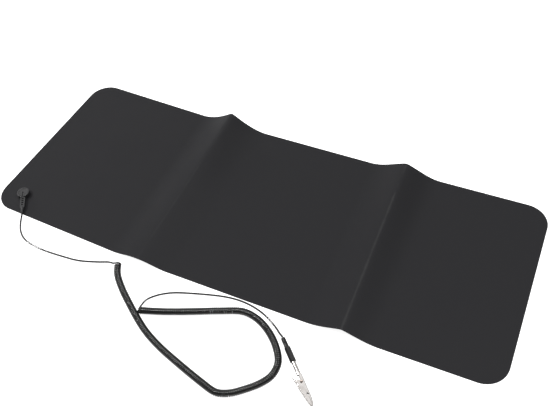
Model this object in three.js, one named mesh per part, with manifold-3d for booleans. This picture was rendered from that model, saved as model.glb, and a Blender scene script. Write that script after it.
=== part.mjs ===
// Earthing mat: a thin conductive sheet that was packed folded in three, with a snap stud in
// one corner, a snap connector on it, a curly cord, a banana plug and a sprung crocodile clip.
// Millimetres, +Z up. X runs along the mat, Y across it (far side +Y), and the floor is Z = 0.
// The origin is under the middle of the mat's box.

import * as THREE from 'three';
import { mergeVertices } from 'three/addons/utils/BufferGeometryUtils.js';
import Module from 'manifold-3d';

const wasm = await Module();
wasm.setup();

// Clearance between pieces that touch on the real object
const seatGap = 0.3;

// Mat sheet
const matLength = 680;
const matWidth = 250;
const matThickness = 1.2;
const cornerRadius = 28;
const leftPanel = 235;
const rightPanel = 183;

// What the two packing creases left: heights and reaches at the near and far long edges.
// The sheet is drawn in by takeUp and turned by turn (degrees) at each crease.
const leftRidge = {
  nearHeight: 7,
  farHeight: 22,
  nearReach: 42,
  farReach: 55,
  nearSoftness: 1,
  farSoftness: 0.1,
  rise: 1.5,
  skew: 0,
  takeUp: 4.7,
  turn: -2.5,
};
const rightRidge = {
  nearHeight: 12.5,
  farHeight: 17,
  nearReach: 46,
  farReach: 50,
  nearSoftness: 0.2,
  farSoftness: 0.35,
  rise: 1,
  skew: -4,
  takeUp: 5.6,
  turn: 0.8,
};
const tentPower = 1.7;

// Snap stud through the mat
const studFromEnd = 33;
const studFromSide = 27;
const capDiameter = 12;
const capThickness = 0.4;
const capFloorGap = 0.05;
const shankDiameter = 3;
const shankHeight = 3.2;
const flangeDiameter = 9.6;
const flangeThickness = 0.4;
const studDiameter = 8;
const studNeckDiameter = 7;
const studHeight = 3.1;
const studRound = 0.8;

// Snap connector on the stud
const headDiameter = 16.2;
const headHeight = 5.4;
const headFoot = 0.5;
const headRound = 1;
const headDish = 0.6;
const headRim = 2;
const grooveWidth = 1.8;
const grooveDepth = 0.9;
const socketWall = 1.6;
const socketHeight = 1.8;
const connectorAngle = -56.5;
const tailReach = 26;
const tailWidth = 6.6;
const tailHeight = 4;
const tailBevel = 0.7;
const tailTaper = 0.9;
const tailSlotCount = 4;
const tailSlotPitch = 3.3;
const tailSlotLength = 1.4;
const tailSlotWidth = 2.6;
const tailSlotDepth = 0.9;
const firstSlotFromHead = 1.5;
const sleeveLength = 7;
const sleeveRootDiameter = 4.4;
const sleeveEndDiameter = 3.2;

// Cord
const wireDiameter = 2.2;
const coilDiameter = 8.5;

// Banana plug
const plugDiameter = 7;
const plugLength = 19.4;
const plugShoulder = 1;
const plugEdge = 0.3;
const reliefDiameter = 5.2;
const reliefCoreDiameter = 2.6;
const reliefLength = 11.6;
const reliefEdge = 0.4;
const reliefSlotWidth = 1;
const reliefSlotCount = 4;
const pinDiameter = 3.3;
const pinLength = 14;
const pinSeatDepth = 4;
const pinTip = 1.4;

// Crocodile clip, lying on its side with its rivet upright
const clipAngle = -44.4;
const clipLength = 53;
const sheetMetal = 0.5;
const barrelLength = 16;
const barrelWall = 0.45;
const barrelSlit = 0.6;
const barrelSlitLength = 10;
const rivetReach = 25.4;
const rivetOffset = -0.8;
const rivetDiameter = 2;
const rivetHeadDiameter = 3.4;
const rivetHeadHeight = 0.6;
const fixedJawWidth = 4.6;
const jawTipWidth = 3.2;
const fixedJawDepth = 2.8;
const fixedNoseLength = 10;
const movingJawDepth = 6.6;
const movingNoseLength = 14;
const earRadius = 2;
const firstToothFromTip = 1.6;
const toothPitch = 1.5;
const toothDepth = 0.5;
const toothCount = 7;
const wireHoleLength = 2.1;
const wireHoleDepth = 1.3;
const leverLength = 8;
const leverLift = 1.5;
const springWire = 0.6;

// Cord route from the connector to the clip, chosen along the cord as it lies
const matLeadRoute = [
  [-286.6, -119.1, 3.5],
  [-285.3, -121.5, 3.1],
  [-283.4, -125.7, 2.3],
  [-281, -130.3, 1.7],
  [-277.9, -135, 1.3],
  [-273.6, -140.1, 1.2],
  [-264.7, -147, 1.2],
  [-255.4, -150.9, 1.2],
  [-244.3, -153, 1.2],
  [-227.8, -154.4, 1.2],
  [-197.3, -153.3, 1.2],
  [-174.8, -150.9, 1.2],
  [-150.4, -143.8, 1.2],
  [-138.4, -138.3, 1.3],
  [-132.2, -133.6, 2],
  [-128.4, -132.9, 3.3],
];
const coilRoute = [
  [-125, -138],
  [-117, -151.5],
  [-100.3, -167.1],
  [-81.6, -181],
  [-63.3, -193.7],
  [-44.6, -205],
  [-20.6, -215.5],
  [6.3, -224.3],
  [33.2, -232.2],
  [48.4, -236.3],
  [56.1, -238.2],
  [61.9, -238.9],
  [66.8, -238.2],
  [72.3, -236.1],
  [77.9, -233.2],
  [89.4, -224],
  [102.4, -210.8],
  [109.4, -198.1],
  [109.2, -182.7],
  [98.2, -165.5],
  [80.5, -150.5],
  [62.9, -142.4],
  [46, -140.7],
  [21.2, -149.8],
  [-9.1, -163],
  [-39.9, -175.5],
  [-63.6, -183.5],
];
const clipLeadRoute = [
  [-66.3, -184.4, 3.7],
  [-69.1, -182.2, 2.1],
  [-69, -176.2, 1.2],
  [-67.4, -167.8, 1.2],
  [-59.5, -158.4, 1.2],
  [-50, -151.5, 1.2],
  [-39.5, -146.2, 1.2],
  [-16.8, -138.5, 1.2],
  [6.2, -131.9, 1.2],
  [18, -129.3, 1.2],
  [30.2, -127.8, 1.2],
  [43.3, -127.9, 1.2],
  [57.1, -130, 1.2],
  [72.3, -135, 1.3],
  [88.9, -144.3, 2],
  [96.4, -150, 3.2],
];
const plugFront = [124.2, -175.8];
const clipAxisHeight = 4;

// Materials
const material = (color, roughness, metalness = 0) =>
  new THREE.MeshStandardMaterial({ color, roughness, metalness });
const conductiveSheet = material(0x363638, 0.75);
const mouldedPlastic = material(0x3a3a3c, 0.5);
const cordJacket = material(0x232325, 0.4);
const nickel = material(0xd8d6d0, 0.25, 1);
const brass = material(0xc9b27c, 0.3, 1);

// Solids and joins

function solid(geometry) {
  const bare = geometry.clone();
  bare.deleteAttribute('normal');
  bare.deleteAttribute('uv');
  const merged = mergeVertices(bare, 1e-4);
  const index = merged.index.array;
  const triangles = [];
  for (let i = 0; i < index.length; i += 3) {
    const [a, b, c] = [index[i], index[i + 1], index[i + 2]];
    if (a !== b && b !== c && c !== a) triangles.push(a, b, c);
  }
  return new wasm.Manifold(new wasm.Mesh({
    numProp: 3,
    vertProperties: new Float32Array(merged.attributes.position.array),
    triVerts: new Uint32Array(triangles),
  }));
}

function geometryOf(manifold) {
  const { vertProperties, triVerts } = manifold.getMesh();
  const geometry = new THREE.BufferGeometry();
  geometry.setAttribute('position', new THREE.BufferAttribute(vertProperties, 3));
  geometry.setIndex(new THREE.BufferAttribute(triVerts, 1));
  return geometry;
}

function named(name, geometry, finish) {
  const mesh = new THREE.Mesh(geometry, finish);
  mesh.name = name;
  return mesh;
}

// Turned shape about Z from [radius, height] points, from the bottom of the axis to its top
function turned(points, segments = 24) {
  const profile = points.map(([radius, height]) => new THREE.Vector2(radius, height));
  return new THREE.LatheGeometry(profile, segments).rotateX(Math.PI / 2);
}

// The same, about X
function turnedAlongX(points, segments = 24) {
  const profile = points.map(([radius, along]) => new THREE.Vector2(radius, along));
  return new THREE.LatheGeometry(profile, segments).rotateZ(-Math.PI / 2);
}

function cylinderBetween(radius, low, high, segments = 24) {
  return turned([[0, low], [radius, low], [radius, high], [0, high]], segments);
}

function alongX(radius, from, to, segments) {
  return turnedAlongX([[0, from], [radius, from], [radius, to], [0, to]], segments);
}

function box(x0, x1, y0, y1, z0, z1) {
  const geometry = new THREE.BoxGeometry(x1 - x0, y1 - y0, z1 - z0);
  return geometry.translate((x0 + x1) / 2, (y0 + y1) / 2, (z0 + z1) / 2);
}

// Quarter round at the top edge of a turned shape, as profile points from its side to its top
function roundedTop(radius, top, round) {
  const steps = 3;
  const points = [];
  for (let i = 0; i <= steps; i += 1) {
    const angle = (i / steps) * Math.PI / 2;
    points.push([radius - round * (1 - Math.cos(angle)), top - round * (1 - Math.sin(angle))]);
  }
  return points;
}

// Plate of an outline in the XY plane, from Z = low to Z = high
function plate(outline, low, high) {
  const shape = new THREE.Shape(outline.map(([x, y]) => new THREE.Vector2(x, y)));
  const geometry = new THREE.ExtrudeGeometry(shape, { depth: high - low, bevelEnabled: false });
  return geometry.translate(0, 0, low);
}

function pointOn(angleDegrees, distance) {
  const angle = THREE.MathUtils.degToRad(angleDegrees);
  return [distance * Math.cos(angle), distance * Math.sin(angle)];
}

// Mat sheet: where each point of the flat sheet lies now

const leftCrease = -matLength / 2 + leftPanel;
const rightCrease = matLength / 2 - rightPanel;
const { lerp, smoothstep, degToRad } = THREE.MathUtils;

function acrossMat(v) {
  return v / matWidth + 0.5;
}

function ridgeHeight(ridge, crease, u, v) {
  const t = acrossMat(v);
  const height = lerp(ridge.nearHeight, ridge.farHeight, t ** ridge.rise);
  const reach = lerp(ridge.nearReach, ridge.farReach, t);
  const softness = lerp(ridge.nearSoftness, ridge.farSoftness, t);
  const creaseHere = crease + ridge.skew * (2 * t - 1);
  const offset = Math.min(Math.abs(u - creaseHere) / reach, 1);
  const tent = (1 - offset) ** tentPower;
  const swell = Math.cos(offset * Math.PI / 2) ** 2;
  return height * lerp(tent, swell, softness);
}

function turnAbout(x, y, centreX, degrees) {
  const angle = degToRad(degrees);
  const fromCentre = x - centreX;
  return [
    centreX + fromCentre * Math.cos(angle) - y * Math.sin(angle),
    fromCentre * Math.sin(angle) + y * Math.cos(angle),
  ];
}

function matPoint(u, v) {
  const pastLeft = smoothstep(u, leftCrease - leftRidge.farReach, leftCrease + leftRidge.farReach);
  const pastRight = smoothstep(u, rightCrease - rightRidge.farReach, rightCrease + rightRidge.farReach);
  const along = u + leftRidge.takeUp * (1 - pastLeft) - rightRidge.takeUp * pastRight;
  const leftTurn = leftRidge.turn * (1 - pastLeft);
  const rightTurn = rightRidge.turn * pastRight;
  const [x0, y0] = turnAbout(along, v, leftCrease + leftRidge.takeUp / 2, leftTurn);
  const [x, y] = turnAbout(x0, y0, rightCrease - rightRidge.takeUp / 2, rightTurn);
  const lift = ridgeHeight(leftRidge, leftCrease, u, v) + ridgeHeight(rightRidge, rightCrease, u, v);
  return new THREE.Vector3(x, y, lift);
}

// Half the sheet's width at u, less where the corners are rounded
function halfWidthAt(u) {
  const fromEnd = matLength / 2 - Math.abs(u);
  const intoCorner = Math.max(cornerRadius - fromEnd, 0);
  return matWidth / 2 - cornerRadius + Math.sqrt(cornerRadius ** 2 - intoCorner ** 2);
}

function matColumns() {
  const columns = [];
  const cornerSteps = 6;
  for (let i = 0; i <= cornerSteps; i += 1) {
    const angle = (i / cornerSteps) * Math.PI / 2;
    columns.push(-matLength / 2 + cornerRadius * (1 - Math.cos(angle)));
  }
  const ridgeSteps = [-1, -0.8, -0.6, -0.44, -0.3, -0.18, -0.08, 0, 0.08, 0.18, 0.3, 0.44, 0.6, 0.8, 1];
  for (const step of ridgeSteps) columns.push(leftCrease + step * leftRidge.farReach);
  for (const step of ridgeSteps) columns.push(rightCrease + step * rightRidge.farReach);
  for (let i = cornerSteps; i >= 0; i -= 1) {
    const angle = (i / cornerSteps) * Math.PI / 2;
    columns.push(matLength / 2 - cornerRadius * (1 - Math.cos(angle)));
  }
  return columns;
}

function matSheetGeometry() {
  const columns = matColumns();
  const rowCount = 10;
  const positions = [];
  for (const u of columns) {
    for (let row = 0; row <= rowCount; row += 1) {
      const v = halfWidthAt(u) * (2 * row / rowCount - 1);
      const under = matPoint(u, v);
      positions.push(under.x, under.y, under.z);
      positions.push(under.x, under.y, under.z + matThickness);
    }
  }
  const under = (column, row) => 2 * (column * (rowCount + 1) + row);
  const over = (column, row) => under(column, row) + 1;
  const index = [];
  const quad = (a, b, c, d) => index.push(a, b, c, a, c, d);
  const last = columns.length - 1;
  for (let c = 0; c < last; c += 1) {
    for (let r = 0; r < rowCount; r += 1) {
      quad(over(c, r), over(c + 1, r), over(c + 1, r + 1), over(c, r + 1));
      quad(under(c, r), under(c, r + 1), under(c + 1, r + 1), under(c + 1, r));
    }
    quad(under(c, 0), under(c + 1, 0), over(c + 1, 0), over(c, 0));
    quad(under(c + 1, rowCount), under(c, rowCount), over(c, rowCount), over(c + 1, rowCount));
  }
  for (let r = 0; r < rowCount; r += 1) {
    quad(under(0, r + 1), under(0, r), over(0, r), over(0, r + 1));
    quad(under(last, r), under(last, r + 1), over(last, r + 1), over(last, r));
  }
  const geometry = new THREE.BufferGeometry();
  geometry.setAttribute('position', new THREE.Float32BufferAttribute(positions, 3));
  geometry.setIndex(index);
  return geometry;
}

const studPoint = matPoint(-matLength / 2 + studFromEnd, -matWidth / 2 + studFromSide);

function matSheet() {
  const recessDepth = capThickness + seatGap;
  const recess = cylinderBetween(capDiameter / 2 + seatGap, -matThickness, recessDepth);
  const hole = cylinderBetween(shankDiameter / 2 + seatGap, -matThickness, 2 * matThickness);
  const cuts = solid(recess).add(solid(hole)).translate([studPoint.x, studPoint.y, 0]);
  return named('mat_sheet', geometryOf(solid(matSheetGeometry()).subtract(cuts)), conductiveSheet);
}

// Snap stud: a cap and shank pressed up through the sheet, and the stud held on the shank

function studBackCap() {
  const cap = turned([
    [0, capFloorGap],
    [capDiameter / 2, capFloorGap],
    [capDiameter / 2, capThickness],
    [shankDiameter / 2, capThickness],
    [shankDiameter / 2, shankHeight],
    [0, shankHeight],
  ]);
  return named('stud_back_cap', cap, nickel);
}

// Lowest point of what sits on the mat's upper face
const onMat = matThickness + seatGap;
const studTop = onMat + studHeight;

function snapStud() {
  const bore = shankDiameter / 2 + seatGap;
  const flangeTop = onMat + flangeThickness;
  const stud = turned([
    [0, shankHeight + seatGap],
    [bore, shankHeight + seatGap],
    [bore, onMat],
    [flangeDiameter / 2, onMat],
    [flangeDiameter / 2, flangeTop],
    [studNeckDiameter / 2, flangeTop],
    ...roundedTop(studDiameter / 2, studTop, studRound),
    [0, studTop],
  ]);
  return named('snap_stud', stud, nickel);
}

// Snap connector: a metal socket ring in a moulded housing whose tail holds the cord

const socketInner = studDiameter / 2 + seatGap;
const socketOuter = socketInner + socketWall;
const socketLow = onMat + flangeThickness + seatGap;
const socketHigh = socketLow + socketHeight;

function snapSocket() {
  const ring = turned([
    [socketInner, socketLow],
    [socketOuter, socketLow],
    [socketOuter, socketHigh],
    [socketInner, socketHigh],
    [socketInner, socketLow],
  ]);
  return named('snap_socket', ring, nickel);
}

const headTop = onMat + headHeight;
const tailTop = onMat + tailHeight;
const cordExitHeight = onMat + sleeveRootDiameter / 2;
const sleeveEnd = tailReach + sleeveLength;

function housingHead() {
  const radius = headDiameter / 2;
  return turned([
    [0, onMat],
    [radius - headFoot, onMat],
    [radius, onMat + headFoot],
    ...roundedTop(radius, headTop, headRound),
    [radius - headRim, headTop],
    [radius - headRim - headDish, headTop - headDish],
    [0, headTop - headDish],
  ], 36);
}

function housingTail() {
  const half = tailWidth / 2 - tailBevel;
  const end = tailReach - tailBevel;
  const outline = [
    [0, -half],
    [end - tailTaper, -half],
    [end, tailTaper - half],
    [end, half - tailTaper],
    [end - tailTaper, half],
    [0, half],
  ];
  const shape = new THREE.Shape(outline.map(([x, y]) => new THREE.Vector2(x, y)));
  const options = {
    depth: tailHeight - 2 * tailBevel,
    bevelThickness: tailBevel,
    bevelSize: tailBevel,
    bevelSegments: 2,
  };
  return new THREE.ExtrudeGeometry(shape, options).translate(0, 0, onMat + tailBevel);
}

// Centre groove of the head's dish, and the row of slots in the tail
function housingMarks() {
  const firstSlot = headDiameter / 2 + firstSlotFromHead;
  const grooveFloor = headTop - headDish - grooveDepth;
  const marks = [box(0, firstSlot, -grooveWidth / 2, grooveWidth / 2, grooveFloor, 2 * headTop)];
  for (let i = 0; i < tailSlotCount; i += 1) {
    const start = firstSlot + i * tailSlotPitch;
    const floor = tailTop - tailSlotDepth;
    marks.push(box(start, start + tailSlotLength, -tailSlotWidth / 2, tailSlotWidth / 2, floor, headTop));
  }
  return marks;
}

function snapHousing() {
  const sleeve = turnedAlongX([
    [0, tailReach - sleeveRootDiameter],
    [sleeveRootDiameter / 2, tailReach - sleeveRootDiameter],
    [sleeveRootDiameter / 2, tailReach],
    [sleeveEndDiameter / 2, sleeveEnd],
    [0, sleeveEnd],
  ], 16).translate(0, 0, cordExitHeight);
  let housing = solid(housingHead()).add(solid(housingTail())).add(solid(sleeve));
  const studRoom = cylinderBetween(socketInner, 0, studTop + seatGap);
  const socketRoom = cylinderBetween(socketOuter + seatGap, 0, socketHigh + seatGap);
  for (const cut of [studRoom, socketRoom, ...housingMarks()]) housing = housing.subtract(solid(cut));
  const mesh = named('snap_housing', geometryOf(housing), mouldedPlastic);
  mesh.rotation.z = degToRad(connectorAngle);
  return mesh;
}

function snapGroup() {
  const group = new THREE.Group();
  group.add(studBackCap(), snapStud(), snapSocket(), snapHousing());
  group.position.set(studPoint.x, studPoint.y, 0);
  return group;
}

// Cord: two plain leads and the curly stretch between them, as a tube of its outer size

function roundSection(radius, sides) {
  const shape = new THREE.Shape();
  for (let i = 0; i < sides; i += 1) {
    const [x, y] = pointOn((360 * (i + 0.5)) / sides, radius);
    if (i === 0) shape.moveTo(x, y);
    else shape.lineTo(x, y);
  }
  shape.closePath();
  return shape;
}

function tube(name, points, diameter, sides, steps) {
  const curve = new THREE.CatmullRomCurve3(points, false, 'centripetal');
  const options = { extrudePath: curve, steps, bevelEnabled: false };
  const geometry = new THREE.ExtrudeGeometry(roundSection(diameter / 2, sides), options);
  return named(name, geometry, cordJacket);
}

const coilHeight = coilDiameter / 2;
const coilPoints = coilRoute.map(([x, y]) => new THREE.Vector3(x, y, coilHeight));

function beyond(end, inner, gap) {
  return end.clone().addScaledVector(end.clone().sub(inner).normalize(), gap);
}

const [sleeveX, sleeveY] = pointOn(connectorAngle, sleeveEnd);
const [exitX, exitY] = pointOn(connectorAngle, sleeveEnd + seatGap);
const plugFace = new THREE.Vector3(plugFront[0], plugFront[1], clipAxisHeight);
const [clipX, clipY] = pointOn(clipAngle, 1);
const clipDirection = new THREE.Vector3(clipX, clipY, 0);
const reliefEnd = plugFace.clone().addScaledVector(clipDirection, -plugLength - reliefLength);

function matLead() {
  const start = new THREE.Vector3(studPoint.x + exitX, studPoint.y + exitY, cordExitHeight);
  const route = matLeadRoute.map((point) => new THREE.Vector3(...point));
  const beforeEnd = beyond(coilPoints[0], coilPoints[1], wireDiameter);
  const end = beyond(coilPoints[0], coilPoints[1], seatGap);
  return tube('cord_lead_mat', [start, ...route, beforeEnd, end], wireDiameter, 8, 40);
}

function clipLead() {
  const last = coilPoints.length - 1;
  const start = beyond(coilPoints[last], coilPoints[last - 1], seatGap);
  const route = clipLeadRoute.map((point) => new THREE.Vector3(...point));
  const beforeEnd = reliefEnd.clone().addScaledVector(clipDirection, -wireDiameter);
  const end = reliefEnd.clone().addScaledVector(clipDirection, -seatGap);
  return tube('cord_lead_clip', [start, ...route, beforeEnd, end], wireDiameter, 8, 42);
}

function curlyCord() {
  return tube('curly_cord', coilPoints, coilDiameter, 10, 44);
}

// Banana plug, along +X from the end of its strain relief to its front face at X = 0

function plugBody() {
  const radius = plugDiameter / 2;
  const reliefRadius = reliefDiameter / 2;
  const reliefBack = -plugLength - reliefLength;
  const body = turnedAlongX([
    [0, -plugLength],
    [radius - plugShoulder, -plugLength],
    [radius, plugShoulder - plugLength],
    [radius, -seatGap - plugEdge],
    [radius - plugEdge, -seatGap],
    [0, -seatGap],
  ], 8);
  const relief = turnedAlongX([
    [0, reliefBack],
    [reliefRadius - reliefEdge, reliefBack],
    [reliefRadius, reliefBack + reliefEdge],
    [reliefRadius, plugShoulder - plugLength],
    [0, plugShoulder - plugLength],
  ], 16);
  let plug = solid(body).add(solid(relief));
  const core = reliefCoreDiameter / 2;
  for (let i = 1; i <= reliefSlotCount; i += 1) {
    const middle = reliefBack + i * reliefLength / (reliefSlotCount + 1);
    const [x0, x1] = [middle - reliefSlotWidth / 2, middle + reliefSlotWidth / 2];
    const over = box(x0, x1, -reliefDiameter, reliefDiameter, core, reliefDiameter);
    const under = box(x0, x1, -reliefDiameter, reliefDiameter, -reliefDiameter, -core);
    plug = plug.subtract(solid(over)).subtract(solid(under));
  }
  const pinSeat = alongX(pinDiameter / 2 + seatGap, -pinSeatDepth, pinSeatDepth, 16);
  return named('plug_body', geometryOf(plug.subtract(solid(pinSeat))), mouldedPlastic);
}

function plugPin() {
  const radius = pinDiameter / 2;
  const pin = turnedAlongX([
    [0, seatGap - pinSeatDepth],
    [radius, seatGap - pinSeatDepth],
    [radius, pinLength - pinTip],
    [radius - pinTip / 2, pinLength],
    [0, pinLength],
  ], 16);
  return named('plug_pin', pin, nickel);
}

// Crocodile clip, along +X from the open end of its barrel at X = 0. The rivet is upright,
// the fixed jaw lies on the +Y side and the sprung jaw with its thumb lever on the -Y side.

const barrelInner = pinDiameter / 2 + seatGap;
const barrelOuter = barrelInner + barrelWall;
const movingJawWidth = fixedJawWidth + 2 * (seatGap + sheetMetal);
const firstTooth = clipLength - firstToothFromTip;
const mouthStart = firstTooth - toothCount * toothPitch;
const wireHoleFront = mouthStart - toothDepth;
const wireHoleBack = wireHoleFront - wireHoleLength;

// Channel plan: half width from the rivet to the tip
function taperPlan(halfBack, halfTip, from, to) {
  return [
    [from, -halfBack],
    [rivetReach, -halfBack],
    [to, -halfTip],
    [to, halfTip],
    [rivetReach, halfBack],
    [from, halfBack],
  ];
}

// Solid of a side outline in XY whose width follows a plan in XZ
function taperedSolid(outline, plan) {
  const side = solid(plate(outline, -clipLength, clipLength));
  const top = solid(plate(plan, -clipLength, clipLength).rotateX(Math.PI / 2));
  return side.intersect(top);
}

function rivetHole() {
  const hole = cylinderBetween(rivetDiameter / 2 + seatGap, -movingJawWidth, movingJawWidth, 16);
  return solid(hole.translate(rivetReach, rivetOffset, 0));
}

// Toothed edge of the mouth from the tip back
function toothedEdge(lineY) {
  const edge = [];
  for (let i = 0; i < toothCount; i += 1) {
    const x = firstTooth - i * toothPitch;
    edge.push([x, lineY]);
    edge.push([x - toothPitch / 2, lineY + toothDepth]);
  }
  edge.push([mouthStart, lineY]);
  return edge;
}

function fixedJaw() {
  const edge = seatGap / 2;
  const back = fixedJawDepth;
  const neck = barrelLength - 2 * sheetMetal;
  const noseBack = clipLength - fixedNoseLength;
  const outline = [
    [neck, -0.4],
    [neck, back - 0.4],
    [neck + 2, back],
    [noseBack, back],
    [clipLength - 3, back - 0.9],
    [clipLength, 1],
    [clipLength, edge],
    ...toothedEdge(edge),
    [wireHoleFront, wireHoleDepth],
    [wireHoleBack, wireHoleDepth],
    [wireHoleBack - 0.8, edge],
    [rivetReach + 3.4, -0.6],
    [rivetReach + 1.6, rivetOffset - earRadius],
    [rivetReach - 1.6, rivetOffset - earRadius],
    [rivetReach - 3.6, -0.6],
  ];
  const inner = [
    [neck + 1, -movingJawDepth],
    [neck + 1, back - 0.9],
    [noseBack, back - sheetMetal],
    [clipLength - 3.2, back - 0.9 - sheetMetal],
    [clipLength - sheetMetal, 0.7],
    [clipLength - sheetMetal, -movingJawDepth],
  ];
  const half = fixedJawWidth / 2;
  const tip = jawTipWidth / 2;
  const outerSolid = taperedSolid(outline, taperPlan(half, tip, 0, clipLength));
  const innerSolid = taperedSolid(inner, taperPlan(half - sheetMetal, tip - sheetMetal, 0, clipLength));
  const barrel = solid(alongX(barrelOuter, 0, barrelLength, 20));
  const barrelBore = solid(alongX(barrelInner, -pinLength, pinLength + seatGap, 20));
  const slit = solid(box(-barrelWall, barrelSlitLength, -barrelSlit / 2, barrelSlit / 2, 0, 2 * barrelOuter));
  const jaw = outerSolid.subtract(innerSolid).add(barrel).subtract(barrelBore).subtract(slit);
  return named('clip_fixed_jaw', geometryOf(jaw.subtract(rivetHole())), nickel);
}

// Thumb lever bent up from the back of the sprung jaw
function clipLever(back, half) {
  const root = rivetReach + 1;
  const end = root - leverLength - 1.4;
  return plate([
    [root, back + 0.1],
    [root - 3, back + 0.2],
    [end + 1, back - leverLift],
    [end, back - leverLift + 0.3],
    [end + 0.1, back - leverLift + 0.9],
    [end + 1, back - leverLift + 0.6],
    [root - 2.8, back + 0.8],
    [root, back + 0.7],
  ], -half, half);
}

function movingJaw() {
  const edge = -seatGap / 2;
  const back = -movingJawDepth;
  const noseBack = clipLength - movingNoseLength;
  const outline = [
    [clipLength, edge],
    [clipLength, -1.2],
    [clipLength - 1, -2.6],
    [noseBack, back + 1.6],
    [rivetReach + 3, back],
    [rivetReach - 1, back + 0.4],
    [rivetReach - 2.4, rivetOffset - 1.4],
    [rivetReach - 2.4, rivetOffset + 0.8],
    [rivetReach - 1, rivetOffset + earRadius],
    [rivetReach + earRadius, rivetOffset + earRadius],
    [wireHoleBack - 0.8, edge],
    [wireHoleBack, 0.3 - wireHoleDepth],
    [wireHoleFront, 0.3 - wireHoleDepth],
    ...toothedEdge(edge).reverse(),
  ];
  const inner = [
    [clipLength - sheetMetal, movingJawDepth],
    [clipLength - sheetMetal, -1.2],
    [clipLength - 1.3, -2.2],
    [noseBack, back + 1.6 + sheetMetal],
    [rivetReach + 3, back + sheetMetal],
    [rivetReach - 4, back + 1.4],
    [rivetReach - 4, movingJawDepth],
  ];
  const half = movingJawWidth / 2;
  const tip = jawTipWidth / 2;
  const outerSolid = taperedSolid(outline, taperPlan(half, tip, 0, clipLength));
  const innerSolid = taperedSolid(inner, taperPlan(half - sheetMetal, tip - sheetMetal, 0, clipLength));
  const jaw = outerSolid.subtract(innerSolid).add(solid(clipLever(back, half)));
  return named('clip_moving_jaw', geometryOf(jaw.subtract(rivetHole())), nickel);
}

function clipRivet() {
  const headLow = movingJawWidth / 2 + seatGap;
  const radius = rivetDiameter / 2;
  const head = rivetHeadDiameter / 2;
  const rivet = turned([
    [0, -headLow - rivetHeadHeight],
    [head - rivetHeadHeight / 2, -headLow - rivetHeadHeight],
    [head, -headLow],
    [radius, -headLow],
    [radius, headLow],
    [head, headLow],
    [head - rivetHeadHeight / 2, headLow + rivetHeadHeight],
    [0, headLow + rivetHeadHeight],
  ], 16);
  return named('clip_rivet', rivet.translate(rivetReach, rivetOffset, 0), nickel);
}

// Spring: its turns round the rivet as one ring, and the leg that bears on the fixed jaw
function clipSpring() {
  const inner = rivetDiameter / 2 + seatGap;
  const outer = inner + springWire;
  const half = fixedJawWidth / 2 - sheetMetal - seatGap;
  const ring = solid(turned([
    [inner, -half],
    [outer, -half],
    [outer, half],
    [inner, half],
    [inner, -half],
  ], 16));
  const legEnd = fixedJawDepth - sheetMetal - seatGap;
  const leg = box(-outer, -outer + springWire, 0, legEnd - rivetOffset, half - springWire, half);
  const spring = ring.add(solid(leg)).translate([rivetReach, rivetOffset, 0]);
  return named('clip_spring', geometryOf(spring), brass);
}

function plugAndClip() {
  const group = new THREE.Group();
  group.add(plugBody(), plugPin(), fixedJaw(), movingJaw(), clipRivet(), clipSpring());
  group.position.copy(plugFace);
  group.rotation.z = degToRad(clipAngle);
  return group;
}

// Assembly, moved so that the origin is under the middle of the mat's box

const sheet = matSheet();
const bounds = new THREE.Box3().setFromObject(sheet);
const middle = bounds.getCenter(new THREE.Vector3());

const earthingMat = new THREE.Group();
earthingMat.add(sheet, snapGroup(), matLead(), curlyCord(), clipLead(), plugAndClip());
earthingMat.position.set(-middle.x, -middle.y, 0);

export default earthingMat;
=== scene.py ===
# Earthing mat with its snap, curly cord, banana plug and crocodile clip: fine shapes and finishes
import math

import bmesh
import bpy
import numpy as np
from mathutils import Matrix, Vector


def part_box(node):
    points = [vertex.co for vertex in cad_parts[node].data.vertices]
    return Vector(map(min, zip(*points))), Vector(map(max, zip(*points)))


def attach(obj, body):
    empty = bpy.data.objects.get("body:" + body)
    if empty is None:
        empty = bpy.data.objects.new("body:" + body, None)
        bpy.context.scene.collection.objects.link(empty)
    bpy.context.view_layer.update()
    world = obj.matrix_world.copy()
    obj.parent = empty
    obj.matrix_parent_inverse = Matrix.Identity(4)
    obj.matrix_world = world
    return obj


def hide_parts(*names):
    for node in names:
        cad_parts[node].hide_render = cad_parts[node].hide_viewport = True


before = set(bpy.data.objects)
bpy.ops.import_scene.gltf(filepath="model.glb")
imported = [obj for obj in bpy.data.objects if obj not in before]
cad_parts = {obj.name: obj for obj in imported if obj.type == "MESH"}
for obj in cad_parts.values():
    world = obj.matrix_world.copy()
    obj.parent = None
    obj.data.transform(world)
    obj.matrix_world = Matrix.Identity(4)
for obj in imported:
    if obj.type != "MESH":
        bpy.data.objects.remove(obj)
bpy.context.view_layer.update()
mm = 0.001
seatGap = 0.3  # mm left between touching pieces

print("stage: camera")

viewSettings = {
    "azimuth": 30.5352,  # degrees round the mat, 0 looks along +Y
    "elevation": 50.8736,
    "roll": -7.4073,
    "distance": 916.38,  # mm from the target
    "target": (14.97, 12.38, 0),
    "lens": 47.24,
}


def makeCamera(v):
    turn, rise, roll = (math.radians(v[key]) for key in ("azimuth", "elevation", "roll"))
    back = Vector((math.sin(turn) * math.cos(rise), -math.cos(turn) * math.cos(rise), math.sin(rise)))
    level = Vector((0, 0, 1)).cross(back).normalized()
    upright = back.cross(level)
    right = level * math.cos(roll) + upright * math.sin(roll)
    up = upright * math.cos(roll) - level * math.sin(roll)
    camera = bpy.data.objects.new("photoView", bpy.data.cameras.new("photoView"))
    bpy.context.scene.collection.objects.link(camera)
    place = (Vector(v["target"]) + back * v["distance"]) * mm
    camera.matrix_world = Matrix.Translation(place) @ Matrix((right, up, back)).transposed().to_4x4()
    camera.data.lens = v["lens"]
    camera.data.clip_start, camera.data.clip_end = 0.01, 50
    bpy.context.scene.camera = camera


makeCamera(viewSettings)

print("stage: shape helpers")


def direction(degrees):
    return Vector((math.cos(math.radians(degrees)), math.sin(math.radians(degrees)), 0))


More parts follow.
